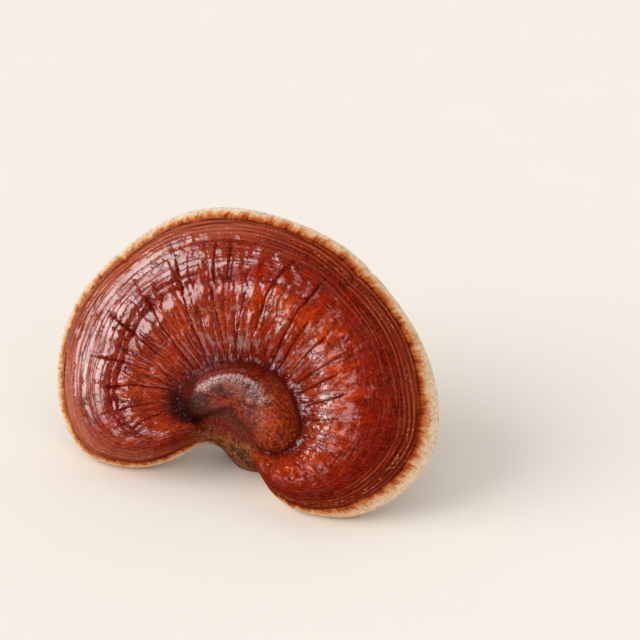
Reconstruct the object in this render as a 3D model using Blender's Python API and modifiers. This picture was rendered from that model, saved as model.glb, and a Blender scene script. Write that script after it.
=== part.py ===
"""Reishi (Ganoderma lucidum), a dried fruiting body with a kidney-shaped cap and a short side stem.

It grew as one piece, so it is one solid. The cap faces -Y and leans back; the body stands on the
rims of its two lobes and on the flat foot where its stem was cut off the wood. The shape is a coarse
cage with a Subdivision Surface: loops of points run from the top of the knob, over the cap to its
growing margin, back under the cap, and down the stem. What reaches below the ground is cut flat.
"""

import math

import bpy

MM = 0.001
LEAN = 38.0  # degrees from upright to the plane of the cap
PLACE = (7.41, -18.97, 33.1)  # where the middle of the knob's base stands (X, Y, Z)

# One step round the body per line, from below the stem and clockwise seen from the front:
# direction out of the stem (degrees), then where the valley round the knob and the growing margin
# lie, as millimetres to the right of and above the middle of the knob in the plane of the cap.
STEPS = (
    (-90, (-5, -15.5), (-5, -17)),
    (-118, (-12.5, -11.5), (-14, -11.5)),
    (-148, (-17.5, -9.5), (-17.5, -9.5)),
    (-157, (-21, -9.5), (-22.5, -18.5)),
    (-164, (-23, -8.5), (-35.5, -31)),
    (-171, (-25, -6.5), (-61.5, -33.5)),
    (-179, (-26.5, -4), (-76, -20.5)),
    (-188, (-27, -1), (-84, -1.5)),
    (-198, (-26.5, 2), (-85, 18.5)),
    (-209, (-24, 6), (-79.5, 36.5)),
    (-222, (-20.5, 9), (-65, 54.5)),
    (-237, (-16, 12), (-48, 69.5)),
    (-253, (-11, 13.5), (-25.5, 74.5)),
    (-270, (-3, 14.6), (-3.5, 72.5)),
    (-287, (3.5, 13), (20.5, 66.5)),
    (-304, (9, 11), (38, 54)),
    (-320, (12.5, 7.5), (55.5, 38.5)),
    (-334, (16, 4), (66.5, 20.5)),
    (-347, (18.5, -1), (71.5, 0)),
    (-359, (20.3, -4.5), (64, -17)),
    (-371, (19.3, -8.5), (49.5, -30.5)),
    (-383, (18, -12), (31.5, -34.5)),
    (-396, (14.5, -15), (16, -31.5)),
    (-411, (9, -15), (7, -22.5)),
    (-430, (3.5, -15), (5, -14)),
)

# The knob over the stem: its top, and loops at a share of the way out to the valley. Each loop has
# its share and height beside the cap, then above the stem, where the knob runs down into it.
KNOB_TOP = (-3.0, 0.0, 1.4)
KNOB_LOOPS = (((0.47, 2.9), (0.36, 0.2)), ((0.86, 3.0), (0.70, -3.2)))
KNOB_SLOPE = (0.05, 0.13)  # the knob rises to the right and upwards

# Loops of the cap: share of the way from the valley to the margin, height over the cap's plane.
CAP_LOOPS = ((0.0, -7.0), (0.18, -0.8), (0.43, 3.8), (0.72, 2.2), (0.93, -4.0), (1.02, -11.8))
# Loops of the underside: share of the way from the stem to the margin, height.
UNDER_LOOPS = ((0.97, -17.0), (0.60, -17.0), (0.15, -19.0))

# The stem behind the cap: height, middle (right, up), half width, half height.
STEM = (
    (0, -3, 1, 17, 12),
    (-8, -5, -1.8, 16, 12.4),
    (-16, -4.5, -6, 14, 12.4),
    (-25, -3, -10.5, 12.5, 12),
    (-33, -1, -14, 11.8, 11.6),
    (-42, 1, -16.5, 11.5, 11.5),
    (-54, 4, -20, 12, 12),
)
STEM_TOP, STEM_BACK = -9.0, -20.0  # where the stem's side leaves the knob and meets the underside
STEM_LOOPS = (-31.0, -54.0)

NOTCH_REACH = 1.0  # shorter than this from valley to margin, there is no cap: the stem shows
LOBE_REACH = 10.0  # longer than this, the cap has its whole profile
CUT_DEPTH = 60.0  # of the block that cuts the body flat at the ground


def clear_scene():
    for obj in list(bpy.data.objects):
        bpy.data.objects.remove(obj, do_unlink=True)


def between(low, high, share):
    return tuple(a + (b - a) * share for a, b in zip(low, high))


def stem_loop(height):
    """The stem's outline at this height, one point per step."""
    for upper, lower in zip(STEM, STEM[1:]):
        if height >= lower[0]:
            break
    share = (upper[0] - height) / (upper[0] - lower[0])
    _, right, up, half_width, half_height = between(upper, lower, share)
    loop = []
    for turn, _, _ in STEPS:
        angle = math.radians(turn)
        x = right + 1.02 * half_width * math.cos(angle)
        y = up + 1.02 * half_height * math.sin(angle)
        loop.append((x, y, height))
    return loop


def cap_share(valley, margin):
    """1 on the lobes, 0 in the notch between them, where only the stem is."""
    reach = math.dist(valley, margin)
    share = min(max((reach - NOTCH_REACH) / (LOBE_REACH - NOTCH_REACH), 0.0), 1.0)
    return share * share * (3 - 2 * share)


def body_loops():
    """All loops from the knob to the foot, as (right, up, height) in millimetres."""
    loops = []
    for beside_cap, above_stem in KNOB_LOOPS:
        loop = []
        for _, valley, margin in STEPS:
            share, height = between(above_stem, beside_cap, cap_share(valley, margin))
            x, y = between(KNOB_TOP[:2], valley, share)
            loop.append((x, y, height + KNOB_SLOPE[0] * x + KNOB_SLOPE[1] * y))
        loops.append(loop)

    profile = [(share, height, False) for share, height in CAP_LOOPS]
    profile += [(share, height, True) for share, height in UNDER_LOOPS]
    root = stem_loop(STEM_BACK)
    for number, (share, height, below) in enumerate(profile):
        side = stem_loop(STEM_TOP + (STEM_BACK - STEM_TOP) * number / (len(profile) - 1))
        loop = []
        for step, (_, valley, margin) in enumerate(STEPS):
            inner = root[step][:2] if below else valley
            cap_point = (*between(inner, margin, share), height)
            loop.append(between(side[step], cap_point, cap_share(valley, margin)))
        loops.append(loop)

    loops += [stem_loop(height) for height in STEM_LOOPS]
    return loops


def stand(point):
    """From the plane of the cap to where the body stands, in metres."""
    right, up, height = point
    lean = math.radians(LEAN)
    y = up * math.sin(lean) - height * math.cos(lean)
    z = up * math.cos(lean) + height * math.sin(lean)
    return ((right + PLACE[0]) * MM, (y + PLACE[1]) * MM, (z + PLACE[2]) * MM)


def build_cage(name, loops):
    """A closed cage through the loops, with one point at each end."""
    count = len(STEPS)
    foot_middle = [sum(axis) / count for axis in zip(*loops[-1])]
    points = [stand(KNOB_TOP)]
    points += [stand(point) for loop in loops for point in loop]
    points.append(stand(foot_middle))
    last = len(points) - 1

    faces = []
    for step in range(count):
        after = (step + 1) % count
        faces.append((0, 1 + after, 1 + step))
        for row in range(len(loops) - 1):
            here = 1 + row * count
            below = here + count
            faces.append((here + step, here + after, below + after, below + step))
        foot = 1 + (len(loops) - 1) * count
        faces.append((foot + step, foot + after, last))

    mesh = bpy.data.meshes.new(name)
    mesh.from_pydata(points, [], faces)
    mesh.validate()
    mesh.shade_smooth()
    return bpy.data.objects.new(name, mesh)


def build_ground_block():
    """Everything below the ground, to be cut off."""
    half, depth = 150 * MM, CUT_DEPTH * MM
    corners = [(x, y, z) for z in (-depth, 0) for y in (-half, half) for x in (-half, half)]
    faces = [(0, 2, 3, 1), (4, 5, 7, 6), (0, 1, 5, 4), (2, 6, 7, 3), (0, 4, 6, 2), (1, 3, 7, 5)]
    mesh = bpy.data.meshes.new("ground_block")
    mesh.from_pydata(corners, [], faces)
    block = bpy.data.objects.new("ground_block", mesh)
    block.hide_render = True
    block.display_type = "WIRE"
    return block


def crust_material():
    material = bpy.data.materials.new("lacquered_crust")
    material.use_nodes = True
    shader = material.node_tree.nodes["Principled BSDF"]
    shader.inputs["Base Color"].default_value = (0.24, 0.035, 0.012, 1)
    shader.inputs["Roughness"].default_value = 0.3
    shader.inputs["Metallic"].default_value = 0.0
    return material


def build():
    clear_scene()
    whole = bpy.data.collections.new("reishi_mushroom")
    cutters = bpy.data.collections.new("cutters")
    cutters.hide_render = True
    bpy.context.scene.collection.children.link(whole)
    bpy.context.scene.collection.children.link(cutters)

    mushroom = build_cage("mushroom", body_loops())
    mushroom.data.materials.append(crust_material())
    whole.objects.link(mushroom)
    ground_block = build_ground_block()
    cutters.objects.link(ground_block)

    soften = mushroom.modifiers.new("soft_form", "SUBSURF")
    soften.levels = 2
    soften.render_levels = 2
    cut = mushroom.modifiers.new("flat_rests", "BOOLEAN")
    cut.operation = "DIFFERENCE"
    cut.solver = "EXACT"
    cut.object = ground_block


build()
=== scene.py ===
"""Looks of the reishi mushroom: one fruiting body on a pale studio floor.

The body's smooth form is grown from loops of points, from the top of the knob over the cap to its
margin, back under the cap and down the stem. A Geometry Nodes tree then raises the radial wrinkles,
sinks the growth furrows and creases, and rolls the margin. Three materials finish it: lacquered
crust, pore layer and the cork of the cut.
"""

import math
from types import SimpleNamespace

import bmesh
import bpy
import numpy as np
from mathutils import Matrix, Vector


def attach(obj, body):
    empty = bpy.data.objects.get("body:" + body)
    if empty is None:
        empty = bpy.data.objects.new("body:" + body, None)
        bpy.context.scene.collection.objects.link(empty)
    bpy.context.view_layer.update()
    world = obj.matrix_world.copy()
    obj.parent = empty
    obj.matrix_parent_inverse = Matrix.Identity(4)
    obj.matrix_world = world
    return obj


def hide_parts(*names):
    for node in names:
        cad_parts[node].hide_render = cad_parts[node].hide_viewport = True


MM = 0.001
PER_METRE = (1000.0, 1000.0, 1000.0)  # millimetres in a metre, on each axis

# ---------------------------------------------------------------- the body's form, in millimetres

LEAN = math.radians(38.0)  # from upright to the plane of the cap
PLACE = np.array((7.41, -18.97, 33.1))  # where the middle of the knob's base stands

# One step round the body per line, from below the stem and clockwise seen from the front:
# direction out of the stem (degrees), then where the valley round the knob and the growing margin
# lie, to the right of and above the middle of the knob in the plane of the cap.
STEPS = (
    (-90, (-5, -15.5), (-5, -17)),
    (-118, (-12.5, -11.5), (-14, -11.5)),
    (-148, (-17.5, -9.5), (-17.5, -9.5)),
    (-157, (-21, -9.5), (-22.5, -18.5)),
    (-164, (-23, -8.5), (-35.5, -31)),
    (-171, (-25, -6.5), (-61.5, -33.5)),
    (-179, (-26.5, -4), (-76, -20.5)),
    (-188, (-27, -1), (-84, -1.5)),
    (-198, (-26.5, 2), (-85, 18.5)),
    (-209, (-24, 6), (-79.5, 36.5)),
    (-222, (-20.5, 9), (-65, 54.5)),
    (-237, (-16, 12), (-48, 69.5)),
    (-253, (-11, 13.5), (-25.5, 74.5)),
    (-270, (-3, 14.6), (-3.5, 72.5)),
    (-287, (3.5, 13), (20.5, 66.5)),
    (-304, (9, 11), (38, 54)),
    (-320, (12.5, 7.5), (55.5, 38.5)),
    (-334, (16, 4), (66.5, 20.5)),
    (-347, (18.5, -1), (71.5, 0)),
    (-359, (20.3, -4.5), (64, -17)),
    (-371, (19.3, -8.5), (49.5, -30.5)),
    (-383, (18, -12), (31.5, -34.5)),
    (-396, (14.5, -15), (16, -31.5)),
    (-411, (9, -15), (7, -22.5)),
    (-430, (3.5, -15), (5, -14)),
)
KNOB_TOP = (-3.0, 0.0, 1.4)
# Share of the way from the top to the valley and height there, beside the cap and above the stem.
KNOB_LOOPS = (((0.47, 2.9), (0.36, 0.2)), ((0.86, 3.0), (0.70, -3.2)))
KNOB_SLOPE = (0.05, 0.13)  # the knob rises to the right and upwards
# Share of the way to the margin and height: from the valley, then under the cap from the stem.
CAP_LOOPS = ((0.0, -7.0), (0.18, -0.8), (0.43, 3.8), (0.72, 2.2), (0.93, -4.0), (1.02, -11.8))
UNDER_LOOPS = ((0.97, -17.0), (0.60, -17.0), (0.15, -19.0))
# The stem behind the cap: height, middle (right, up), half width, half height.
STEM = (
    (-54, 4, -20, 12, 12),
    (-42, 1, -16.5, 11.5, 11.5),
    (-33, -1, -14, 11.8, 11.6),
    (-25, -3, -10.5, 12.5, 12),
    (-16, -4.5, -6, 14, 12.4),
    (-8, -5, -1.8, 16, 12.4),
    (0, -3, 1, 17, 12),
)
STEM_TOP, STEM_BACK = -9.0, -20.0  # where its side leaves the knob and meets the underside
STEM_LOOPS = (-31.0, -54.0)
STEM_SWELL = 1.02  # makes up for what smoothing takes off the stem
# Millimetres from valley to margin: under the first there is no cap, over the second a whole one.
NOTCH_REACH, LOBE_REACH = 1.0, 10.0

# The growth share of each loop: below 0 on the knob, 0 in the valley, 1 at the margin, then on
# under the cap to the stem's root at 2 and its foot at 3.
LOOP_SHARES = (-1.0, -0.6, -0.24, 0.0, 0.18, 0.43, 0.72, 0.93, 1.02, 1.12, 1.45, 1.8, 2.2, 2.8, 3.0)
# Rows of faces between each loop and the next.
ROWS_AFTER_LOOP = (6, 7, 9, 15, 22, 24, 19, 14, 8, 6, 5, 5, 9, 2)
COLUMN_WIDTH = 0.70  # of a face at the margin
FEWEST_COLUMNS = 7  # between two steps
MIDDLE_ROW = 0.6  # the share at which the way round the cap is measured

# How growth went round the cap: turn from below the stem (degrees), and the share at which the
# main furrow and the edge of the crust came to lie there.
MAIN_FURROW = (
    (60, 0.450),
    (85, 0.450),
    (100, 0.424),
    (118, 0.461),
    (132, 0.500),
    (165, 0.500),
    (190, 0.562),
    (230, 0.574),
    (245, 0.524),
    (263, 0.474),
    (284, 0.411),
    (304, 0.461),
    (330, 0.500),
)
CRUST_EDGE = (
    (25, 1.050),
    (40, 0.990),
    (52, 0.962),
    (75, 0.945),
    (92, 0.926),
    (120, 0.922),
    (160, 0.938),
    (200, 0.962),
    (237, 0.975),
    (267, 0.945),
    (300, 0.935),
    (330, 0.955),
)
EVEN_FURROW, EVEN_EDGE = 0.5, 0.955  # the shares that the two are brought to, all round


def form_controls():
    """The loops' points, as an array of loops by steps by (right, up, height, share, cap)."""
    turns = np.radians([step[0] for step in STEPS])
    valley = np.array([step[1] for step in STEPS], float)
    margin = np.array([step[2] for step in STEPS], float)
    count = len(STEPS)
    reach = np.linalg.norm(margin - valley, axis=1)
    cap = np.clip((reach - NOTCH_REACH) / (LOBE_REACH - NOTCH_REACH), 0, 1)
    cap = (cap * cap * (3 - 2 * cap))[:, None]
    stem = np.array(STEM, float)

    def at_height(flat, height):
        return np.column_stack([flat, np.broadcast_to(height, count)])

    def stem_loop(height):
        right, up, half_width, half_height = (
            np.interp(height, stem[:, 0], stem[:, k]) for k in range(1, 5)
        )
        side = np.column_stack([half_width * np.cos(turns), half_height * np.sin(turns)])
        return at_height((right, up) + STEM_SWELL * side, height)

    top = np.array(KNOB_TOP)
    loops = [np.tile(top, (count, 1))]
    for beside_cap, above_stem in KNOB_LOOPS:
        difference = np.subtract(beside_cap, above_stem)
        share, height = np.transpose(np.array(above_stem) + difference * cap)
        flat = top[:2] + (valley - top[:2]) * share[:, None]
        loops.append(at_height(flat, height + flat @ KNOB_SLOPE))
    root = stem_loop(STEM_BACK)[:, :2]
    profile = [(valley, *loop) for loop in CAP_LOOPS] + [(root, *loop) for loop in UNDER_LOOPS]
    for number, (inner, share, height) in enumerate(profile):
        side = stem_loop(STEM_TOP + (STEM_BACK - STEM_TOP) * number / (len(profile) - 1))
        lobe = at_height(inner + (margin - inner) * share, height)
        loops.append(side + (lobe - side) * cap)
    loops += [stem_loop(height) for height in STEM_LOOPS]
    loops.append(np.tile(loops[-1].mean(axis=0), (count, 1)))

    shares = np.broadcast_to(np.array(LOOP_SHARES)[:, None, None], (len(loops), count, 1))
    caps = np.broadcast_to(cap, (len(loops), count, 1))
    return np.concatenate([np.array(loops), shares, caps], axis=2)


def spline_weights(at):
    """Weights of the four points round a place in a cubic B-spline's span."""
    weights = (
        (1 - at) ** 3,
        3 * at**3 - 6 * at**2 + 4,
        -3 * at**3 + 3 * at**2 + 3 * at + 1,
        at**3,
    )
    return np.stack(weights, axis=-1) / 6


def along_loops(controls):
    """The form between the loops: open, and it ends on the first and the last."""
    first = 2 * controls[0] - controls[1]
    last = 2 * controls[-1] - controls[-2]
    padded = np.concatenate([[first], controls, [last]])
    rows = []
    for span, count in enumerate(ROWS_AFTER_LOOP):
        weights = spline_weights(np.arange(count) / count)
        rows.append(np.einsum("rk,k...->r...", weights, padded[span : span + 4]))
    rows.append(controls[-1:])
    return np.concatenate(rows)


def row_at(rows, share):
    return rows[np.argmin(np.abs(rows[:, 0, 3] - share))]


def round_steps(rows):
    """The form between the steps: closed, with columns about as wide everywhere at the margin."""
    count = rows.shape[1]
    outline = row_at(rows, 1.0)[:, :2]
    columns = []
    for step in range(count):
        around = [(step + k - 1) % count for k in range(4)]
        length = np.linalg.norm(outline[(step + 1) % count] - outline[step])
        across = max(FEWEST_COLUMNS, round(length / COLUMN_WIDTH))
        weights = spline_weights(np.arange(across) / across)
        columns.append(np.einsum("ck,rk...->rc...", weights, rows[:, around]))
    return np.concatenate(columns, axis=1)


def stand(points):
    """From the plane of the cap to where the body stands, in metres."""
    right, up, height = np.moveaxis(points, -1, 0)
    y = up * math.sin(LEAN) - height * math.cos(LEAN)
    z = up * math.cos(LEAN) + height * math.sin(LEAN)
    return (np.stack([right, y, z], axis=-1) + PLACE) * MM


def smooth(value, low, high):
    share = np.clip((value - low) / (high - low), 0, 1)
    return share * share * (3 - 2 * share)


def even_growth(share, turn):
    """The share of growth, with the main furrow and the crust's edge made even all round."""
    degrees = np.degrees(turn)
    furrow = np.interp(degrees, *np.transpose(MAIN_FURROW)) - EVEN_FURROW
    edge = np.interp(degrees, *np.transpose(CRUST_EDGE)) - EVEN_EDGE
    at_furrow = smooth(share, 0.0, 0.45) * smooth(share, 0.85, 0.55)
    at_edge = smooth(share, 0.60, 0.88) * smooth(share, 1.45, 1.05)
    return share - furrow * at_furrow - edge * at_edge


def grow_form():
    """The smooth body as a closed mesh, with its growth stored at each point."""
    rows = round_steps(along_loops(form_controls()))
    points = stand(rows[..., :3])
    middle = stand(row_at(rows, MIDDLE_ROW)[:, :3])
    walked = np.cumsum(np.linalg.norm(middle - np.roll(middle, 1, axis=0), axis=1))
    turn = 2 * math.pi * walked / walked[-1]
    share = even_growth(rows[..., 3], turn)
    growth = np.stack(np.broadcast_arrays(np.cos(turn), np.sin(turn), share), axis=-1)

    count, wide = rows.shape[:2]
    index = np.arange(1, 1 + (count - 2) * wide).reshape(count - 2, wide)
    after = np.roll(index, -1, axis=1)
    quads = np.stack([index[:-1], after[:-1], after[1:], index[1:]], axis=-1).reshape(-1, 4)
    last = index[-1, -1] + 1
    faces = [(0, b, a) for a, b in zip(index[0], after[0])]
    faces += quads.tolist()
    faces += [(a, b, last) for a, b in zip(index[-1], after[-1])]

    def flat(values):
        inner = values[1:-1].reshape(-1, values.shape[-1])
        return np.concatenate([values[0, :1], inner, values[-1, :1]])

    mesh = bpy.data.meshes.new("fruiting_body")
    mesh.from_pydata(flat(points).tolist(), [], faces)
    mesh.update()
    store(mesh, "growth", "FLOAT_VECTOR", "vector", flat(growth))
    store(mesh, "cap", "FLOAT", "value", flat(rows[..., 4:5]))
    return mesh


def store(mesh, name, kind, field, values):
    layer = mesh.attributes.new(name, kind, "POINT")
    layer.data.foreach_set(field, values.astype(np.float32).ravel())


def cut_at_ground(mesh):
    """Cuts the body flat where it rests, and marks the cut faces."""
    shape = bmesh.new()
    shape.from_mesh(mesh)
    cut = shape.faces.layers.float.new("cut")
    everything = shape.verts[:] + shape.edges[:] + shape.faces[:]
    bmesh.ops.bisect_plane(
        shape, geom=everything, dist=1e-7, plane_co=(0, 0, 0), plane_no=(0, 0, -1), clear_outer=True
    )
    rim = [edge for edge in shape.edges if edge.is_boundary]
    filled = bmesh.ops.holes_fill(shape, edges=rim, sides=0)["faces"]
    bmesh.ops.recalc_face_normals(shape, faces=shape.faces[:])
    for face in shape.faces:
        face.smooth = True
    for face in filled:
        face.smooth = False
        face[cut] = 1.0
    bmesh.ops.triangulate(shape, faces=filled)
    shape.to_mesh(mesh)
    shape.free()


# ---------------------------------------------------------------- wiring of node trees
# Below, w is the wiring of the tree in hand and m the crust's marks.


class Wiring:
    """Adds nodes to one tree. Any input takes a number or another node's socket."""

    def __init__(self, tree):
        self.tree = tree

    def join(self, value, socket):
        if isinstance(value, bpy.types.NodeSocket):
            self.tree.links.new(value, socket)
        else:
            socket.default_value = value

    def put(self, kind, inputs=None, **settings):
        node = self.tree.nodes.new(kind)
        for name, value in settings.items():
            setattr(node, name, value)
        for key, value in (inputs or {}).items():
            self.join(value, node.inputs[key])
        return node

    def math(self, operation, *values):
        node = self.put("ShaderNodeMath", dict(enumerate(values)), operation=operation)
        return node.outputs[0]

    def add(self, *values):
        total = values[0]
        for value in values[1:]:
            total = self.math("ADD", total, value)
        return total

    def times(self, *values):
        total = values[0]
        for value in values[1:]:
            total = self.math("MULTIPLY", total, value)
        return total

    def less(self, a, b):
        return self.math("SUBTRACT", a, b)

    def rise(self, value, low, high):
        """0 below low, 1 above high, smooth between. It falls if low is the larger."""
        inputs = {"Value": value, "From Min": low, "From Max": high}
        node = self.put("ShaderNodeMapRange", inputs, interpolation_type="SMOOTHSTEP")
        return node.outputs["Result"]

    def bell(self, offset, width):
        """1 where offset is 0, and near 0 beyond width either way."""
        share = self.math("DIVIDE", offset, width)
        return self.math("POWER", math.e, self.times(share, share, -2.0))

    def vector(self, operation, *values):
        node = self.put("ShaderNodeVectorMath", dict(enumerate(values)), operation=operation)
        return node.outputs["Value" if operation in ("DOT_PRODUCT", "LENGTH") else "Vector"]

    def parts(self, vector):
        return self.put("ShaderNodeSeparateXYZ", {0: vector}).outputs

    def joined(self, x=0.0, y=0.0, z=0.0):
        return self.put("ShaderNodeCombineXYZ", {0: x, 1: y, 2: z}).outputs[0]

    def swing(self, noise, size):
        """Noise that goes to either side of 0, about size from end to end."""
        return self.times(self.less(noise, 0.5), size)

    def noise(self, vector, scale=1.0, detail=2.0, rough=0.5, colour=False):
        inputs = {"Vector": vector, "Scale": scale, "Detail": detail, "Roughness": rough}
        return self.put("ShaderNodeTexNoise", inputs).outputs["Color" if colour else "Fac"]

    def cells(self, vector, scale=1.0, feature="F1"):
        inputs = {"Vector": vector, "Scale": scale}
        return self.put("ShaderNodeTexVoronoi", inputs, feature=feature).outputs["Distance"]

    def mix(self, share, first, second):
        """Colours from first at 0 to second at 1."""
        node = self.put("ShaderNodeMix", {0: share, 6: first, 7: second}, data_type="RGBA")
        return node.outputs[2]

    def tint(self, base, share, shade):
        """Lays a colour, given as it looks, over base."""
        return self.mix(share, base, colour(*shade))

    def mixed(self, share, first, second):
        """Numbers from first at 0 to second at 1."""
        return self.add(first, self.times(share, self.less(second, first)))

    def ramp(self, value, stops):
        """A colour looked up between stops of place and colour."""
        node = self.put("ShaderNodeValToRGB", {"Fac": value})
        elements = node.color_ramp.elements
        elements.remove(elements[-1])
        elements[0].position, elements[0].color = stops[0]
        for place, shade in stops[1:]:
            elements.new(place).color = shade
        return node.outputs["Color"]


def add_sockets(tree, side, kind, names):
    for name in names:
        tree.interface.new_socket(name, in_out=side, socket_type="NodeSocket" + kind)


def colour(red, green, blue):
    """A colour given as it looks, in 0 to 255, made linear."""
    values = []
    for level in (red, green, blue):
        level /= 255
        values.append(level / 12.92 if level <= 0.04045 else ((level + 0.055) / 1.055) ** 2.4)
    return (*values, 1.0)


# ---------------------------------------------------------------- relief of the cap

CAP_RADIUS = 330.0 / (2 * math.pi)  # millimetres, of a circle as long as the middle of the cap
CAP_REACH = 55.0  # millimetres from valley to margin

# Growth furrows: share, half width, depth in millimetres, then the turn that they are deepest at
# and how far they run either way, in degrees.
FURROWS = (
    (0.300, 0.075, 0.55, 140, 75),
    (0.300, 0.014, 0.14, 140, 60),
    (0.505, 0.088, 0.75, 130, 95),
    (0.500, 0.014, 0.26, 130, 80),
    (0.553, 0.013, 0.34, 112, 50),
    (0.560, 0.030, 0.10, 250, 70),
    (0.610, 0.008, 0.08, 140, 60),
    (0.655, 0.009, 0.14, 140, 60),
    (0.712, 0.009, 0.16, 135, 65),
    (0.765, 0.022, 0.22, 130, 90),
    (0.790, 0.008, 0.12, 270, 110),
    (0.840, 0.008, 0.14, 190, 160),
    (0.868, 0.007, 0.14, 190, 160),
    (0.905, 0.009, 0.34, 190, 160),
)
NARROW = 0.02  # half width of the widest furrow that is a cleft
FURROW_FADE = 18.0  # degrees, either side of where a furrow's run ends
FURROWS_APART = 61.0  # how far apart in the noise the furrows at shares 0 and 1 are

# Creases that cut across the furrows: turn and share at the inner end, then at the outer end, and
# depth in millimetres.
CREASES = (
    (113.7, 0.16, 114.3, 0.74, 0.34),
    (125.0, 0.04, 130.5, 0.62, 0.30),
    (143.3, 0.10, 148.9, 0.74, 0.30),
    (101.5, 0.26, 95.4, 0.74, 0.32),
    (91.8, 0.08, 83.1, 0.62, 0.38),
    (76.6, 0.14, 71.5, 0.52, 0.40),
    (66.4, 0.14, 59.7, 0.52, 0.36),
    (131.0, 0.84, 130.2, 1.07, 0.75),
    (163.1, 0.08, 161.4, 0.49, 0.28),
    (163.1, 0.49, 165.3, 0.76, 0.34),
    (170.2, 0.49, 171.9, 0.72, 0.34),
    (171.4, 0.04, 180.3, 0.42, 0.30),
    (186.9, 0.18, 198.7, 0.80, 0.42),
    (206.2, 0.00, 211.9, 0.80, 0.42),
    (214.2, 0.00, 216.6, 0.40, 0.40),
    (217.7, 0.78, 218.9, 1.06, 0.85),
    (226.0, 0.04, 229.0, 0.42, 0.36),
    (238.5, 0.05, 241.0, 0.46, 0.34),
    (249.0, 0.04, 248.0, 0.40, 0.36),
    (262.5, 0.06, 259.5, 0.45, 0.36),
    (276.0, 0.06, 272.0, 0.42, 0.30),
    (291.0, 0.08, 287.0, 0.36, 0.22),
)

# Heights of the relief in millimetres. Those of furrows and creases multiply the tables' depths.
RELIEF_SIZES = {
    "Broad rib height": 0.50,
    "Fine rib height": 0.10,
    "Furrow depth": 1.15,
    "Crease depth": 1.0,
    "Crinkle height": 0.40,
    "Swell height": 1.40,
    "Lump height": 0.90,
    "Grain height": 0.44,
}

# Ribs: how many there are round the cap, how much they sway, and where their noise starts.
BROAD_RIBS = (52, 0.9, 7.3)
FINE_RIBS = (124, 1.6, 1.7)

PORES_FROM, PORES_TO = 1.10, 1.95  # shares between which the underside has its pore layer
PORED_CAP = 0.6  # how much of the cap's whole profile there has to be, for pores


def growth_space(w, growth, across, along, shift=0.0):
    """Coordinates for noise whose cells are across wide round the cap and along long outwards,
    in millimetres. The shift takes them to another part of the noise."""
    radius = CAP_RADIUS / across
    scaled = w.vector("MULTIPLY", growth, (radius, radius, CAP_REACH / along))
    return w.vector("ADD", scaled, (shift, 0.0, shift))


def relief_group(name, numbers):
    """A group of the relief tree that takes the growth and some numbers, and its wiring."""
    tree = bpy.data.node_groups.new(name, "GeometryNodeTree")
    add_sockets(tree, "INPUT", "Vector", ("Growth",))
    add_sockets(tree, "INPUT", "Float", numbers)
    add_sockets(tree, "OUTPUT", "Float", ("Result",))
    w = Wiring(tree)
    return tree, w, w.put("NodeGroupInput").outputs


def place_group(w, tree, growth, numbers):
    """Uses a group of the relief tree once, with its own numbers."""
    node = w.put("GeometryNodeGroup", node_tree=tree)
    for value, socket in zip((growth, *numbers), node.inputs):
        w.join(value, socket)
    return node.outputs["Result"]


def toward(w, growth, turn):
    """How far a point lies towards a turn in degrees: 1 there, 0 a quarter round, -1 opposite."""
    turn = w.math("RADIANS", turn)
    right = w.math("COSINE", turn)
    up = w.math("SINE", turn)
    way = w.joined(right, up)
    return w.vector("DOT_PRODUCT", growth, way)


def furrow_group():
    """One growth furrow: millimetres deep, patchy, and fading out at the ends of its run."""
    tree, w, given = relief_group("furrow", ("Share", "Half width", "Depth", "Turn", "Run"))
    growth = given["Growth"]
    furrow = w.bell(w.less(w.parts(growth)[2], given["Share"]), given["Half width"])
    apart = w.joined(z=w.times(given["Share"], FURROWS_APART))
    spot = w.vector("ADD", growth_space(w, growth, 9, 900), apart)
    patchy = w.rise(w.noise(spot), 0.25, 0.50)
    narrow = w.rise(given["Half width"], 0.03, 0.015)
    patchy = w.less(1.0, w.times(narrow, w.less(1.0, patchy)))
    end = w.math("COSINE", w.math("RADIANS", w.add(given["Run"], FURROW_FADE)))
    start = w.math("COSINE", w.math("RADIANS", w.add(given["Run"], -FURROW_FADE)))
    reach = w.rise(toward(w, growth, given["Turn"]), end, start)
    depth = w.times(furrow, patchy, reach, given["Depth"])
    w.put("NodeGroupOutput", {"Result": depth})
    return tree


def crease_group():
    """One long crease: a sharp line with a soft dip round it, straying a little to the sides."""
    names = ("Inner turn", "Inner share", "Outer turn", "Outer share", "Depth")
    tree, w, given = relief_group("crease", names)
    growth = given["Growth"]
    stray = w.swing(w.noise(growth_space(w, growth, 7, 7, 6.1)), 2.2)
    inner, outer = given["Inner share"], given["Outer share"]
    way = w.math("DIVIDE", w.less(w.parts(growth)[2], inner), w.less(outer, inner))
    off_inner = toward(w, growth, w.add(given["Inner turn"], 90.0))
    off_outer = toward(w, growth, w.add(given["Outer turn"], 90.0))
    off = w.add(off_inner, w.times(w.less(off_outer, off_inner), way))
    off = w.add(w.times(off, CAP_RADIUS), stray)
    ends = w.times(w.rise(way, -0.08, 0.12), w.rise(way, 1.08, 0.85))
    near = w.rise(toward(w, growth, given["Inner turn"]), 0.7, 0.8)
    line = w.add(w.bell(off, 0.55), w.times(w.bell(off, 2.6), 0.55))
    w.put("NodeGroupOutput", {"Result": w.times(line, ends, near, given["Depth"])})
    return tree


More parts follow.
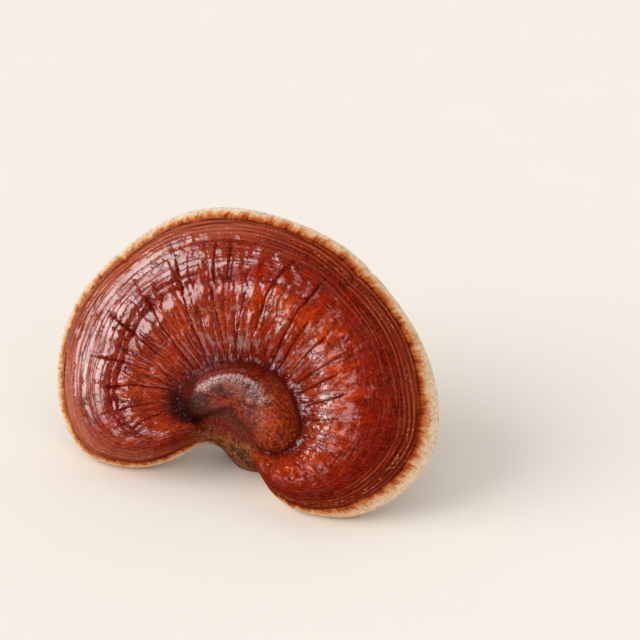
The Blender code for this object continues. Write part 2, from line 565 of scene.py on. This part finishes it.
def ribs_group():
    """Rounded ribs running outwards: 0 in the creases between them, 1 on their crests."""
    tree, w, given = relief_group("ribs", ("Number", "Restlessness", "Shift"))
    growth = given["Growth"]
    right, up, _ = w.parts(growth)
    turn = w.math("ARCTAN2", up, right)
    shift = w.joined(given["Shift"], 0.0, given["Shift"])
    spot = w.vector("ADD", growth_space(w, growth, 14, 30), shift)
    sway = w.swing(w.noise(spot), given["Restlessness"])
    spot = w.vector("ADD", growth_space(w, growth, 3.5, 5.0), shift)
    sway = w.add(sway, w.swing(w.noise(spot), 0.75))
    half_count = w.times(given["Number"], 0.5)
    phase = w.add(w.times(turn, half_count), w.times(sway, 2 * math.pi))
    wave = w.math("ABSOLUTE", w.math("SINE", phase))
    w.put("NodeGroupOutput", {"Result": w.math("POWER", wave, 0.7)})
    return tree


def furrow_depth(w, growth, narrow):
    """Millimetres that the wide or the narrow furrows sink, wavering as they go round."""
    waver = w.swing(w.noise(growth_space(w, growth, 15, 120, 2.2), detail=3), 0.035)
    wavered = w.vector("ADD", growth, w.joined(z=waver))
    furrow = furrow_group()
    kept = [numbers for numbers in FURROWS if (numbers[1] < NARROW) == narrow]
    return w.add(*(place_group(w, furrow, wavered, numbers) for numbers in kept))


def crease_depth(w, growth):
    """Millimetres that the long creases sink."""
    crease = crease_group()
    return w.add(*(place_group(w, crease, growth, numbers) for numbers in CREASES))


def relief_tree():
    """Geometry Nodes: raises and sinks the crust, and hands each face its material."""
    tree = bpy.data.node_groups.new("growth_relief", "GeometryNodeTree")
    add_sockets(tree, "INPUT", "Geometry", ("Geometry",))
    add_sockets(tree, "INPUT", "Float", RELIEF_SIZES)
    add_sockets(tree, "INPUT", "Material", ("Crust", "Pores", "Cork"))
    add_sockets(tree, "OUTPUT", "Geometry", ("Geometry",))
    w = Wiring(tree)
    given = w.put("NodeGroupInput").outputs

    def stored(name, kind="FLOAT"):
        node = w.put("GeometryNodeInputNamedAttribute", {"Name": name}, data_type=kind)
        return node.outputs["Attribute"]

    growth = stored("growth", "FLOAT_VECTOR")
    share = w.parts(growth)[2]
    cap = stored("cap")
    cut = stored("cut")
    place = w.put("GeometryNodeInputPosition").outputs[0]
    place_mm = w.vector("MULTIPLY", place, PER_METRE)
    height = w.parts(place_mm)[2]
    on_cap = w.times(cap, w.rise(share, -0.10, 0.0), w.rise(share, 1.10, 1.0))

    # ribs: broad ones, fine ones between them, both strongest near the valley
    strength = w.noise(growth_space(w, growth, 12, 16, 31.0))
    strength = w.add(0.45, w.times(w.rise(strength, 0.32, 0.66), 0.55))
    inner = w.times(w.rise(share, 0.0, 0.16), w.rise(share, 0.80, 0.45))
    inner = w.times(w.add(inner, 0.12), strength)
    rib = ribs_group()
    broad = place_group(w, rib, growth, BROAD_RIBS)
    broad = w.times(w.less(broad, 1.0), given["Broad rib height"], inner)
    fine = place_group(w, rib, growth, FINE_RIBS)
    fine_reach = w.rise(share, 0.05, 0.30)
    fine = w.times(w.less(fine, 1.0), given["Fine rib height"], inner, fine_reach)
    sunk = w.times(furrow_depth(w, growth, False), given["Furrow depth"])
    cleft = w.add(
        w.times(furrow_depth(w, growth, True), given["Furrow depth"]),
        w.times(crease_depth(w, growth), given["Crease depth"]),
    )

    # dried skin: fine crinkles and shallow pits
    crinkle = w.noise(growth_space(w, growth, 2.6, 2.0, 4.1), rough=0.55)
    crinkle = w.swing(crinkle, given["Crinkle height"])
    swell = w.noise(growth_space(w, growth, 5.0, 5.5, 14.1))
    swell = w.swing(swell, given["Swell height"])
    calm = w.add(0.25, w.times(w.rise(share, 0.92, 0.82), 0.75))
    skin = w.times(w.add(crinkle, swell), calm)
    roll = w.times(w.rise(share, 0.905, 0.95), w.rise(share, 1.10, 1.0), 0.30)

    # the knob and the stem are lumpy and grained
    bare = w.less(1.0, on_cap)
    lumps = w.swing(w.noise(place_mm, scale=0.16), given["Lump height"])
    grains = w.noise(place_mm, scale=0.55, detail=3, rough=0.6)
    lumps = w.add(lumps, w.swing(grains, given["Grain height"]))
    under = w.times(w.rise(share, 1.08, 1.2), w.rise(share, 2.1, 1.9), cap)
    lumps = w.times(lumps, bare, w.less(1.0, w.times(under, 0.75)))

    # each part of the relief is stored once, for the offset here and for the materials
    shape = given["Geometry"]
    for name, value in (
        ("sunk", w.times(sunk, on_cap)),
        ("cleft", w.times(cleft, on_cap)),
        ("ribs", w.times(w.add(broad, fine), on_cap)),
        ("skin", w.add(w.times(w.add(skin, roll), on_cap), lumps)),
    ):
        inputs = {"Geometry": shape, "Name": name, "Value": value}
        settings = {"data_type": "FLOAT", "domain": "POINT"}
        node = w.put("GeometryNodeStoreNamedAttribute", inputs, **settings)
        shape = node.outputs["Geometry"]
    sink = w.add(stored("sunk"), stored("cleft"))
    lift = w.less(w.add(stored("ribs"), stored("skin")), sink)
    lift = w.times(lift, w.rise(height, 0.1, 2.0), MM)
    normal = w.put("GeometryNodeInputNormal").outputs[0]
    offset = w.vector("MULTIPLY", normal, w.joined(lift, lift, lift))
    moved = w.put("GeometryNodeSetPosition", {"Geometry": shape, "Offset": offset})
    shape = w.put("GeometryNodeRealizeInstances", {0: moved.outputs["Geometry"]}).outputs[0]
    pored = w.times(
        w.math("GREATER_THAN", share, PORES_FROM),
        w.math("LESS_THAN", share, PORES_TO),
        w.math("GREATER_THAN", cap, PORED_CAP),
    )
    for name, faces in (("Crust", True), ("Pores", pored), ("Cork", cut)):
        inputs = {"Geometry": shape, "Selection": faces, "Material": given[name]}
        shape = w.put("GeometryNodeSetMaterial", inputs).outputs["Geometry"]
    w.put("NodeGroupOutput", {"Geometry": shape})
    return tree


def raise_relief(obj, materials):
    """Runs the relief tree on the body and keeps its result as a plain mesh."""
    tree = relief_tree()
    modifier = obj.modifiers.new("relief", "NODES")
    modifier.node_group = tree
    given = {**RELIEF_SIZES, **materials}
    for socket in tree.interface.items_tree:
        if socket.in_out == "INPUT" and socket.name in given:
            modifier[socket.identifier] = given[socket.name]
    bpy.context.view_layer.update()
    graph = bpy.context.evaluated_depsgraph_get()
    finished = bpy.data.meshes.new_from_object(obj.evaluated_get(graph), depsgraph=graph)
    obj.modifiers.remove(modifier)
    obj.data = finished


# ---------------------------------------------------------------- materials


def grain_group():
    """Shared: uneven grain of a dried surface, as a value round 0.5 and a bump height."""
    tree = bpy.data.node_groups.new("dry_grain", "ShaderNodeTree")
    add_sockets(tree, "INPUT", "Vector", ("Vector",))
    add_sockets(tree, "INPUT", "Float", ("Cell size", "Contrast"))
    add_sockets(tree, "OUTPUT", "Float", ("Mottle", "Height"))
    w = Wiring(tree)
    given = w.put("NodeGroupInput").outputs
    scale = w.math("DIVIDE", 1.0, given["Cell size"])
    mottle = w.noise(given["Vector"], scale=scale, detail=5, rough=0.65)
    mottle = w.add(0.5, w.swing(mottle, given["Contrast"]))
    height = w.noise(given["Vector"], scale=w.times(scale, 2.7), detail=4, rough=0.6)
    w.put("NodeGroupOutput", {"Mottle": mottle, "Height": height})
    return tree


class Finish:
    """A material with its wiring, its coordinates in millimetres and its growth."""

    def __init__(self, name):
        self.material = bpy.data.materials.new(name)
        self.material.use_nodes = True
        self.wiring = Wiring(self.material.node_tree)
        self.shader = self.material.node_tree.nodes["Principled BSDF"]
        place = self.wiring.put("ShaderNodeTexCoord").outputs["Object"]
        self.place_mm = self.wiring.vector("MULTIPLY", place, PER_METRE)
        self.growth = self.attribute("growth")["Vector"]
        self.right, self.up, self.share = self.wiring.parts(self.growth)

    def attribute(self, name):
        """What is stored in the mesh under a name."""
        settings = {"attribute_name": name, "attribute_type": "GEOMETRY"}
        return self.wiring.put("ShaderNodeAttribute", **settings).outputs

    def stored(self, name):
        return self.attribute(name)["Fac"]

    def toward(self, turn):
        """1 towards a turn in degrees round the cap, 0 a quarter round from it, -1 opposite."""
        angle = math.radians(turn)
        way = (math.cos(angle), math.sin(angle), 0.0)
        return self.wiring.vector("DOT_PRODUCT", self.growth, way)

    def space(self, across, along, shift):
        return growth_space(self.wiring, self.growth, across, along, shift)

    def patches(self, across, along, shift, detail=2.0, rough=0.5):
        """Noise whose cells are across wide round the cap and along long outwards."""
        return self.wiring.noise(self.space(across, along, shift), detail=detail, rough=rough)

    def grain(self, group, size, contrast):
        inputs = {"Vector": self.place_mm, "Cell size": size, "Contrast": contrast}
        return self.wiring.put("ShaderNodeGroup", inputs, node_tree=group).outputs

    def bump(self, height, distance, strength=1.0):
        inputs = {"Height": height, "Distance": distance, "Strength": strength}
        return self.wiring.put("ShaderNodeBump", inputs).outputs["Normal"]

    def give(self, inputs):
        """Joins or sets the shader's inputs by name."""
        for name, value in inputs.items():
            self.wiring.join(value, self.shader.inputs[name])


# The crust from the valley out to the margin: share of growth, and colour there.
CRUST_ZONES = (
    (0.000, (92, 12, 4)),
    (0.040, (106, 16, 5)),
    (0.100, (132, 26, 6)),
    (0.200, (158, 40, 9)),
    (0.300, (174, 54, 13)),
    (0.420, (176, 54, 13)),
    (0.500, (158, 38, 10)),
    (0.600, (146, 32, 9)),
    (0.700, (128, 22, 7)),
    (0.780, (118, 22, 9)),
    (0.840, (124, 32, 14)),
    (0.880, (120, 38, 18)),
    (0.900, (96, 26, 13)),
    (0.914, (152, 58, 20)),
    (0.934, (182, 88, 34)),
    (0.954, (208, 142, 86)),
    (0.972, (228, 192, 150)),
    (1.000, (236, 214, 186)),
)
LAST_ZONE = 1.1  # the share that the end of the ramp of zones stands for

# Turns of the cap, in degrees, that look unlike the rest. Painted shade lies towards the first two,
# painted light on the outer cap towards the third.
SHADED_LEFT = 45
VALLEY_LEFT = 58
PALE_LEFT = 110
DULL_RIGHT = 275
LIT_RIGHT = 300

RING_GAP = 0.029  # share of growth from one ring near the margin to the next
INNER_BEADS, OUTER_BEADS = 0.56, 0.858  # shares at which the rows of pale beads lie
DARK_EDGE = 0.914  # share at which a dark line ends the crust
CROWN = (34.5, 38.0)  # millimetres over the ground, from where the knob turns glossy

# The fold that runs down from the knob to the stem, painted in shade: which way is across it, and
# where it lies.
FOLD_ACROSS = (0.28, 0.0, 0.96)
FOLD_AT = 27.6
UNDER_EDGE = (226, 198, 162)  # colour just behind the margin, where crust and pore layer meet


def crust_marks(finish, grain):
    """Where things lie on the crust, for its colour, its gloss and its skin."""
    w = finish.wiring
    share = finish.share
    m = SimpleNamespace()
    m.has_cap = finish.stored("cap")
    m.on_cap = w.times(
        w.rise(m.has_cap, 0.35, 0.75), w.rise(share, -0.06, 0.0), w.rise(share, 1.94, 1.80)
    )
    m.lacquer = w.rise(share, 0.90, 0.80)
    m.outer_left = finish.toward(PALE_LEFT)
    m.on_right = w.rise(finish.right, 0.0, 0.5)

    # the zones waver, and the crust's outer edge is ragged
    waver = finish.patches(9, 30, 2.0, detail=3)
    m.ragged = finish.patches(3.4, 4.0, 6.0, detail=4, rough=0.62)
    m.teeth = finish.patches(1.1, 5.0, 51.0, detail=3, rough=0.6)
    at_edge = w.rise(share, 0.86, 0.93)
    wavering = w.swing(waver, 0.10)
    ragged = w.add(w.swing(m.ragged, 0.11), w.swing(m.teeth, 0.099))
    m.zone = w.add(share, w.mixed(at_edge, wavering, ragged))

    # creases, a net of fine cracks, and flecks
    m.crests = finish.stored("ribs")
    m.creased = w.times(w.rise(m.crests, -0.14, -0.44), m.lacquer, 0.45)
    m.in_cleft = w.rise(finish.stored("cleft"), 0.12, 0.40)
    bent = w.noise(finish.space(3.0, 3.0, 3.0), colour=True)
    bent = w.vector("MULTIPLY", bent, (0.9, 0.9, 0.9))
    net = w.vector("ADD", finish.space(3.6, 2.4, 6.5), bent)
    cracks = w.rise(w.cells(net, feature="DISTANCE_TO_EDGE"), 0.08, 0.02)
    m.cracks = w.times(cracks, w.rise(finish.patches(4, 5, 15.0), 0.48, 0.60))
    m.fleck = finish.patches(0.9, 0.9, 21.0, detail=1)

    # fine lines round the cap
    bands = finish.patches(60, 2.6, 27.0, detail=3, rough=0.6)
    m.off_line = w.math("ABSOLUTE", w.less(bands, 0.5))
    m.lined = w.times(w.rise(share, 0.50, 0.60), w.rise(share, 0.90, 0.86))
    m.lines = w.times(w.rise(m.off_line, 0.012, 0.0), m.lined)

    # rings near the margin, and rows of beads
    round_share = w.add(share, w.swing(finish.patches(34, 300, 71.0, detail=1), 0.07))
    phase = w.add(w.times(round_share, 2 * math.pi / RING_GAP), w.swing(waver, 0.9))
    m.wave = w.math("SINE", phase)
    m.faded = w.rise(finish.patches(8, 2.0, 61.0, detail=3), 0.36, 0.56)
    ringed = w.times(w.rise(share, 0.78, 0.83), w.rise(share, 0.925, 0.910))
    m.ringed = w.times(ringed, w.add(0.15, w.times(m.faded, 0.85)))
    beads = w.cells(finish.space(1.2, 1.0, 17.0))
    inner_row = w.times(w.bell(w.less(round_share, INNER_BEADS), 0.013), 0.5)
    outer_row = w.bell(w.less(round_share, OUTER_BEADS), 0.022)
    outer_row = w.times(outer_row, w.add(0.4, w.times(m.on_right, 0.5)))
    rows = w.add(w.times(w.rise(m.wave, 0.55, 0.95), m.ringed, 0.7), inner_row, outer_row)
    gaps = w.rise(finish.patches(5, 1.6, 41.0), 0.46, 0.56)
    m.beads = w.times(w.rise(beads, 0.46, 0.22), rows, gaps)

    # specks, blotches and crazing of the knob and the stem
    m.speck = finish.grain(grain, 1.2, 1.0)["Mottle"]
    m.blotch = finish.grain(grain, 5.0, 1.0)["Mottle"]
    crazed = w.noise(finish.place_mm, scale=0.30, colour=True)
    crazed = w.vector("ADD", finish.place_mm, w.vector("MULTIPLY", crazed, (5.0, 5.0, 5.0)))
    crazed = w.cells(crazed, scale=0.42, feature="DISTANCE_TO_EDGE")
    m.crazed = w.rise(crazed, 0.09, 0.015)
    return m


def cap_colour(finish, m):
    """The cap from the valley out to the growing margin."""
    w = finish.wiring
    share = finish.share
    stops = [(at / LAST_ZONE, colour(*shade)) for at, shade in CRUST_ZONES]
    base = w.ramp(w.math("DIVIDE", m.zone, LAST_ZONE), stops)

    # painted light: the outer cap is browner and paler on the left, the side the left softbox
    # lights
    pale = w.times(w.rise(share, 0.52, 0.70), w.rise(share, 0.91, 0.88), 0.55)
    base = w.tint(base, w.times(w.rise(m.outer_left, -0.1, 0.7), pale), (188, 72, 38))

    # orange patches (glow), stronger on the rib crests as painted light, then maroon patches and
    # streaks drawn out along the ribs
    glow = finish.patches(6, 11, 5.5, detail=4, rough=0.6)
    glow = w.times(w.rise(glow, 0.46, 0.68), w.rise(share, 0.66, 0.40), w.rise(share, 0.04, 0.2))
    crest = w.rise(m.crests, -0.22, -0.02)
    glow = w.times(glow, w.add(0.45, w.times(crest, 0.55)), 0.85)
    base = w.tint(base, glow, (212, 80, 22))
    maroon = finish.patches(5, 13, 12.5, detail=4, rough=0.65)
    base = w.tint(base, w.times(w.rise(maroon, 0.50, 0.72), m.lacquer, 0.70), (86, 11, 6))
    stain = finish.patches(22, 18, 77.0, detail=3, rough=0.6)
    base = w.tint(base, w.times(w.rise(stain, 0.46, 0.62), m.lacquer, 0.35), (112, 26, 14))
    streaks = finish.patches(1.1, 16, 3.5, detail=3, rough=0.6)
    base = w.tint(base, w.times(w.rise(streaks, 0.48, 0.74), m.lacquer, 0.5), (78, 9, 5))

    # painted shade: what lies deep, in the creases between ribs, the furrows and the clefts, is
    # darker; then there are flecks and cracks
    base = w.tint(base, m.creased, (92, 11, 5))
    base = w.tint(base, w.times(w.rise(finish.stored("sunk"), 0.45, 1.25), 0.45), (98, 16, 7))
    base = w.tint(base, w.times(m.in_cleft, m.lacquer, 0.75), (66, 9, 5))
    base = w.tint(base, w.times(w.rise(m.fleck, 0.50, 0.34), m.lacquer, 0.42), (70, 10, 5))
    bright = w.add(0.14, w.times(w.rise(share, 0.60, 0.40), 0.14))
    base = w.tint(base, w.times(w.rise(m.fleck, 0.54, 0.70), m.lacquer, bright), (214, 92, 44))
    base = w.tint(base, w.times(m.cracks, m.lacquer, 0.65), (60, 9, 5))

    # the fine lines are darkest on the outer left, with a painted pale sheen beyond them
    on_left = w.rise(m.outer_left, 0.0, 0.7)
    base = w.tint(base, w.times(m.lines, w.add(0.25, w.times(on_left, 0.4))), (70, 14, 8))
    painted_sheen = w.times(w.rise(share, 0.74, 0.83), w.rise(share, 0.93, 0.90), 0.45)
    base = w.tint(base, w.times(on_left, painted_sheen), (190, 104, 78))

    # fine rings, broader ones over them, and pale beads, partly their own pale colour and partly
    # painted glints
    rings = finish.patches(26, 0.8, 8.0, detail=3, rough=0.72)
    banded = w.times(w.rise(share, 0.50, 0.84), w.rise(share, 0.93, 0.91))
    base = w.tint(base, w.times(w.rise(rings, 0.52, 0.66), banded, 0.50), (178, 84, 46))
    base = w.tint(base, w.times(w.rise(rings, 0.48, 0.36), banded, 0.75), (66, 17, 12))
    paler = w.less(0.36, w.times(m.on_right, 0.16))
    base = w.tint(base, w.times(w.rise(m.wave, 0.2, 0.9), m.ringed, paler), (190, 96, 60))
    base = w.tint(base, w.times(w.rise(m.wave, -0.2, -0.9), m.ringed, 0.45), (78, 22, 14))
    base = w.tint(base, w.times(m.beads, 0.62), (222, 148, 104))

    # a dark line ends the crust, and the growing margin is mottled and finely cracked
    edge = w.add(share, w.swing(m.ragged, 0.012))
    edge = w.times(w.bell(w.less(edge, DARK_EDGE), 0.007), w.add(0.45, w.times(m.faded, 0.45)))
    base = w.tint(base, edge, (66, 16, 10))
    pale = w.rise(share, 0.93, 0.97)
    base = w.tint(base, w.times(w.rise(m.fleck, 0.50, 0.66), pale, 0.35), (196, 146, 98))
    base = w.tint(base, w.times(w.rise(m.fleck, 0.50, 0.36), pale, 0.35), (244, 228, 206))
    base = w.tint(base, w.times(w.rise(m.teeth, 0.52, 0.66), pale, 0.35), (188, 132, 84))
    return w.tint(base, w.times(m.cracks, pale, 0.15), (150, 92, 50))


def bare_colour(finish, m):
    """Knob and stem: brown with orange specks, redder at the knob's foot, with painted shade in the
    fold.
    """
    w = finish.wiring
    right, _, height = w.parts(finish.place_mm)
    blotched = w.rise(m.blotch, 0.42, 0.58)
    knob = w.mix(blotched, colour(92, 30, 17), colour(146, 52, 30))
    knob = w.tint(knob, w.rise(finish.share, -0.50, -0.22), (118, 24, 10))
    bulge = w.rise(right, 8.0, 18.0)
    knob = w.tint(knob, w.times(bulge, 0.55), (172, 66, 28))
    orange = w.times(w.rise(m.speck, 0.53, 0.64), w.add(0.3, w.times(bulge, 0.4)))
    knob = w.tint(knob, orange, (206, 104, 52))
    knob = w.tint(knob, w.times(w.rise(m.speck, 0.46, 0.38), 0.7), (60, 14, 8))
    knob = w.tint(knob, w.times(m.crazed, 0.5), (54, 12, 8))
    # painted shade in the fold that runs down from the knob's ridge to the stem
    across = w.vector("DOT_PRODUCT", finish.place_mm, FOLD_ACROSS)
    across = w.add(across, -FOLD_AT, w.swing(m.blotch, 14.0))
    fold = w.times(w.bell(across, 5.0), w.rise(right, 16.0, 8.0), 0.75)
    knob = w.tint(knob, fold, (66, 26, 14))

    stem = w.mix(blotched, colour(88, 46, 24), colour(146, 84, 40))
    stem = w.tint(stem, w.times(w.rise(m.speck, 0.53, 0.64), 0.75), (196, 126, 66))
    stem = w.tint(stem, w.times(w.rise(m.speck, 0.47, 0.39), 0.75), (46, 22, 12))
    low = w.rise(w.add(height, w.times(m.blotch, 12.0)), 29.0, 20.0)
    return w.mix(low, knob, stem)


def crust_colour(finish, m):
    """The cap's and the knob's colours where each lies, and the painted shade where they meet."""
    w = finish.wiring
    share = finish.share
    beside_cap = w.rise(m.has_cap, 0.2, 0.6)
    # painted shade: the valley is darkened most on the left of the knob
    valley_shade = w.times(w.rise(finish.toward(VALLEY_LEFT), 0.68, 0.90), w.rise(share, 0.20, 0.03))
    base = w.tint(cap_colour(finish, m), w.times(valley_shade, 0.85), (50, 12, 7))
    base = w.mix(m.on_cap, bare_colour(finish, m), base)
    beneath = w.times(w.rise(share, 1.02, 1.09), w.rise(share, 1.94, 1.6), beside_cap)
    base = w.tint(base, beneath, UNDER_EDGE)
    # painted shade: a dark line in the valley round the knob, deeper on the shaded left
    shaded = w.rise(finish.toward(SHADED_LEFT), 0.60, 0.95)
    root = w.times(w.bell(w.add(share, 0.015), 0.075), beside_cap)
    base = w.tint(base, w.times(root, w.add(0.42, w.times(shaded, 0.45))), (44, 6, 3))
    # painted shade at the knob's foot on the shaded left
    foot = w.times(shaded, w.rise(share, -0.55, -0.30), w.rise(share, 0.20, 0.0))
    return w.tint(base, w.times(foot, beside_cap, 0.85), (42, 8, 4))


def crust_gloss(finish, m):
    """Glossy lacquer on the cap and the knob's crown, dull on the margin and the stem."""
    w = finish.wiring
    share, right = finish.share, finish.right
    crown = w.add(w.parts(finish.place_mm)[2], w.swing(m.blotch, 8.0))
    crown = w.rise(crown, *CROWN)
    bare = w.add(0.12, w.times(crown, 0.70), w.times(crown, w.rise(share, -0.5, -0.3), 0.18))
    bare = w.times(bare, w.add(1.0, w.times(m.crazed, -0.5)))

    # worn on the outer right, and dull on the right between the valley and there
    worn = w.times(w.rise(right, 0.1, 0.6), w.rise(share, 0.52, 0.74))
    worn = w.add(1.0, w.times(worn, -0.80))
    dull = w.times(w.rise(finish.toward(DULL_RIGHT), 0.0, 0.6), w.rise(share, 0.26, 0.40))
    worn = w.times(worn, w.add(1.0, w.times(dull, -0.65)))

    # patchy, evener on the outer left, and glossier on the lower right and at the top
    patchy = finish.patches(8, 7, 33.0, detail=3, rough=0.6)
    patchy = w.add(0.03, w.times(w.rise(patchy, 0.44, 0.55), 0.97))
    patchy = w.mixed(w.times(w.rise(m.outer_left, 0.2, 0.8), 0.6), patchy, 0.8)
    lit_right = w.rise(finish.toward(LIT_RIGHT), 0.4, 0.9)
    lit_right = w.times(lit_right, w.bell(w.less(share, 0.24), 0.14))
    lit_top = w.times(w.rise(finish.up, 0.1, 0.7), w.bell(w.less(share, 0.68), 0.16))
    lit_top = w.times(lit_top, w.rise(right, 0.45, 0.1))
    patchy = w.add(patchy, w.times(lit_right, 0.55), w.times(lit_top, 0.5))

    # none in the clefts and the cracks, and streaky among the fine lines
    closed = w.add(w.times(m.in_cleft, 0.85), w.times(m.cracks, 0.6), w.times(m.creased, 0.6))
    streaky = w.mixed(w.times(m.lined, 0.85), 1.0, w.rise(m.off_line, 0.0, 0.09))
    outer = w.mixed(w.rise(m.outer_left, 0.0, 0.6), m.zone, w.add(m.zone, -0.10))
    cap = w.times(w.rise(outer, 0.86, 0.74), w.rise(share, -0.02, 0.09), worn, patchy)
    cap = w.times(cap, w.rise(closed, 1.0, 0.0), streaky)
    return w.mixed(m.on_cap, bare, cap)


def crust_skin(finish, m):
    """The finest crinkles and cracks, in millimetres."""
    w = finish.wiring
    crinkle = finish.patches(1.9, 1.5, 9.0, detail=1.5)
    grit = finish.patches(1.0, 1.1, 91.0, detail=1)
    cap = w.add(w.times(m.cracks, -0.05), w.times(crinkle, 0.16), w.times(m.fleck, 0.03))
    cap = w.add(cap, w.times(m.lines, -0.05), w.times(m.beads, 0.08), w.times(grit, 0.08))
    cap = w.add(cap, w.times(m.wave, m.ringed, 0.02))
    bare = w.add(w.times(m.speck, 0.16), w.times(m.crazed, -0.05))
    return w.mixed(m.on_cap, bare, cap)


def lacquered_crust(grain):
    """Cap, knob and stem: red lacquer in zones, paling to the cream of the growing margin."""
    finish = Finish("lacquered_crust")
    marks = crust_marks(finish, grain)
    crinkled = finish.bump(crust_skin(finish, marks), MM)
    finish.give(
        {
            "Base Color": crust_colour(finish, marks),
            "Roughness": 0.8,
            "Specular IOR Level": 0.0,
            "Coat Weight": crust_gloss(finish, marks),
            "Coat Roughness": 0.15,
            "Coat IOR": 2.25,
            "Normal": crinkled,
            "Coat Normal": crinkled,
        }
    )
    return finish.material


def pore_layer(grain):
    """The underside: cream and dull, with pores too fine to count, browner towards the stem."""
    finish = Finish("pore_layer")
    w = finish.wiring
    pores = w.cells(finish.place_mm, scale=2.4)
    mottle = finish.grain(grain, 6.0, 1.2)["Mottle"]
    base = w.mix(mottle, colour(196, 160, 118), colour(226, 198, 160))
    base = w.tint(base, w.times(w.rise(pores, 0.34, 0.10), 0.5), (132, 96, 62))
    base = w.tint(base, w.times(w.rise(finish.share, 1.35, 1.90), 0.50), (150, 102, 62))
    base = w.tint(base, w.rise(finish.share, 1.72, 1.95), (112, 64, 34))
    base = w.tint(base, w.rise(finish.share, 1.22, 1.10), UNDER_EDGE)
    dull = w.add(0.78, w.times(mottle, 0.12))
    normal = finish.bump(pores, 0.3 * MM, 0.7)
    finish.give({"Base Color": base, "Roughness": dull, "Normal": normal})
    return finish.material


def cut_cork(grain):
    """The flesh where the stem and the rims are cut flat: pale brown and corky."""
    finish = Finish("cut_cork")
    fleck = finish.grain(grain, 1.4, 1.5)
    base = finish.wiring.mix(fleck["Mottle"], colour(124, 84, 52), colour(196, 152, 104))
    normal = finish.bump(fleck["Height"], 0.4 * MM, 0.8)
    finish.give({"Base Color": base, "Roughness": 0.85, "Normal": normal})
    return finish.material


# ---------------------------------------------------------------- studio

AIM = Vector((0.02648, 0.00495, 0.06023))  # what the camera looks at
CAMERA_TURN, CAMERA_RISE = 22.0, 29.0  # degrees round from the front, and above the floor
CAMERA_DISTANCE = 0.75
LENS = 115.6
FLOOR_HALF = 4.0
BACKDROP = (246, 239, 229)  # what the camera sees beyond the floor
DIM_AIR = (0.01, 0.01, 0.01, 1.0)  # what everything else gets from there


def show(obj):
    bpy.context.scene.collection.objects.link(obj)


def lay_floor():
    mesh = bpy.data.meshes.new("studio_floor")
    sides = (-FLOOR_HALF, FLOOR_HALF)
    corners = [(x, y, 0) for y in sides for x in sides]
    mesh.from_pydata(corners, [], [(0, 1, 3, 2)])
    floor = bpy.data.objects.new("studio_floor", mesh)
    show(floor)
    finish = Finish("studio_paper")
    w = finish.wiring
    tooth = w.noise(finish.place_mm, scale=0.02)
    base = w.mix(tooth, colour(238, 232, 224), colour(240, 234, 226))
    finish.give({"Base Color": base, "Roughness": 0.9, "Specular IOR Level": 0.1})
    mesh.materials.append(finish.material)


def shine(name, toward_light, spread, strength, tint, in_gloss=True):
    """A far, soft lamp: the same all over the floor, as wide in degrees as spread."""
    data = bpy.data.lights.new(name, "SUN")
    data.angle = math.radians(spread)
    data.energy = strength
    data.color = tint
    lamp = bpy.data.objects.new(name, data)
    lamp.location = Vector(toward_light)
    lamp.rotation_euler = Vector(toward_light).to_track_quat("Z", "Y").to_euler()
    lamp.visible_glossy = in_gloss
    show(lamp)


def light_studio():
    shine("left_softbox", (-0.68, -0.48, 0.555), 52, 1.75, (1.0, 0.98, 0.965))
    shine("overhead_fill", (0.15, -0.1, 1.0), 150, 2.46, (1.0, 0.985, 0.975), in_gloss=False)
    world = bpy.data.worlds.new("studio_air")
    bpy.context.scene.world = world
    world.use_nodes = True
    w = Wiring(world.node_tree)
    seen = w.put("ShaderNodeLightPath").outputs["Is Camera Ray"]
    air = world.node_tree.nodes["Background"]
    w.join(w.mix(seen, DIM_AIR, colour(*BACKDROP)), air.inputs["Color"])
    bpy.context.scene.view_settings.view_transform = "Standard"


def set_camera():
    turn, rise = math.radians(CAMERA_TURN), math.radians(CAMERA_RISE)
    back = Vector(
        (math.sin(turn) * math.cos(rise), -math.cos(turn) * math.cos(rise), math.sin(rise))
    )
    data = bpy.data.cameras.new("camera")
    data.lens = LENS
    camera = bpy.data.objects.new("camera", data)
    camera.location = AIM + back * CAMERA_DISTANCE
    camera.rotation_euler = (-back).to_track_quat("-Z", "Y").to_euler()
    show(camera)
    bpy.context.scene.camera = camera


# ---------------------------------------------------------------- the piece

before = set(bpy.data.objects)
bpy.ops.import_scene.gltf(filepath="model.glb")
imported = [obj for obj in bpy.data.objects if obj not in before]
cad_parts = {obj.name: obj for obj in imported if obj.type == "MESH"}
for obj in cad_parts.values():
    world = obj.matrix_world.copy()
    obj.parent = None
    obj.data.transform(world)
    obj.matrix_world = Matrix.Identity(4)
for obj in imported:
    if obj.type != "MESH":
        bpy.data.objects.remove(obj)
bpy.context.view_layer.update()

grain = grain_group()
materials = {
    "Crust": lacquered_crust(grain),
    "Pores": pore_layer(grain),
    "Cork": cut_cork(grain),
}

form = grow_form()
cut_at_ground(form)
body = bpy.data.objects.new("fruiting_body", form)
show(body)
raise_relief(body, materials)

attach(body, "root")
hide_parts("mushroom")

lay_floor()
light_studio()
set_camera()
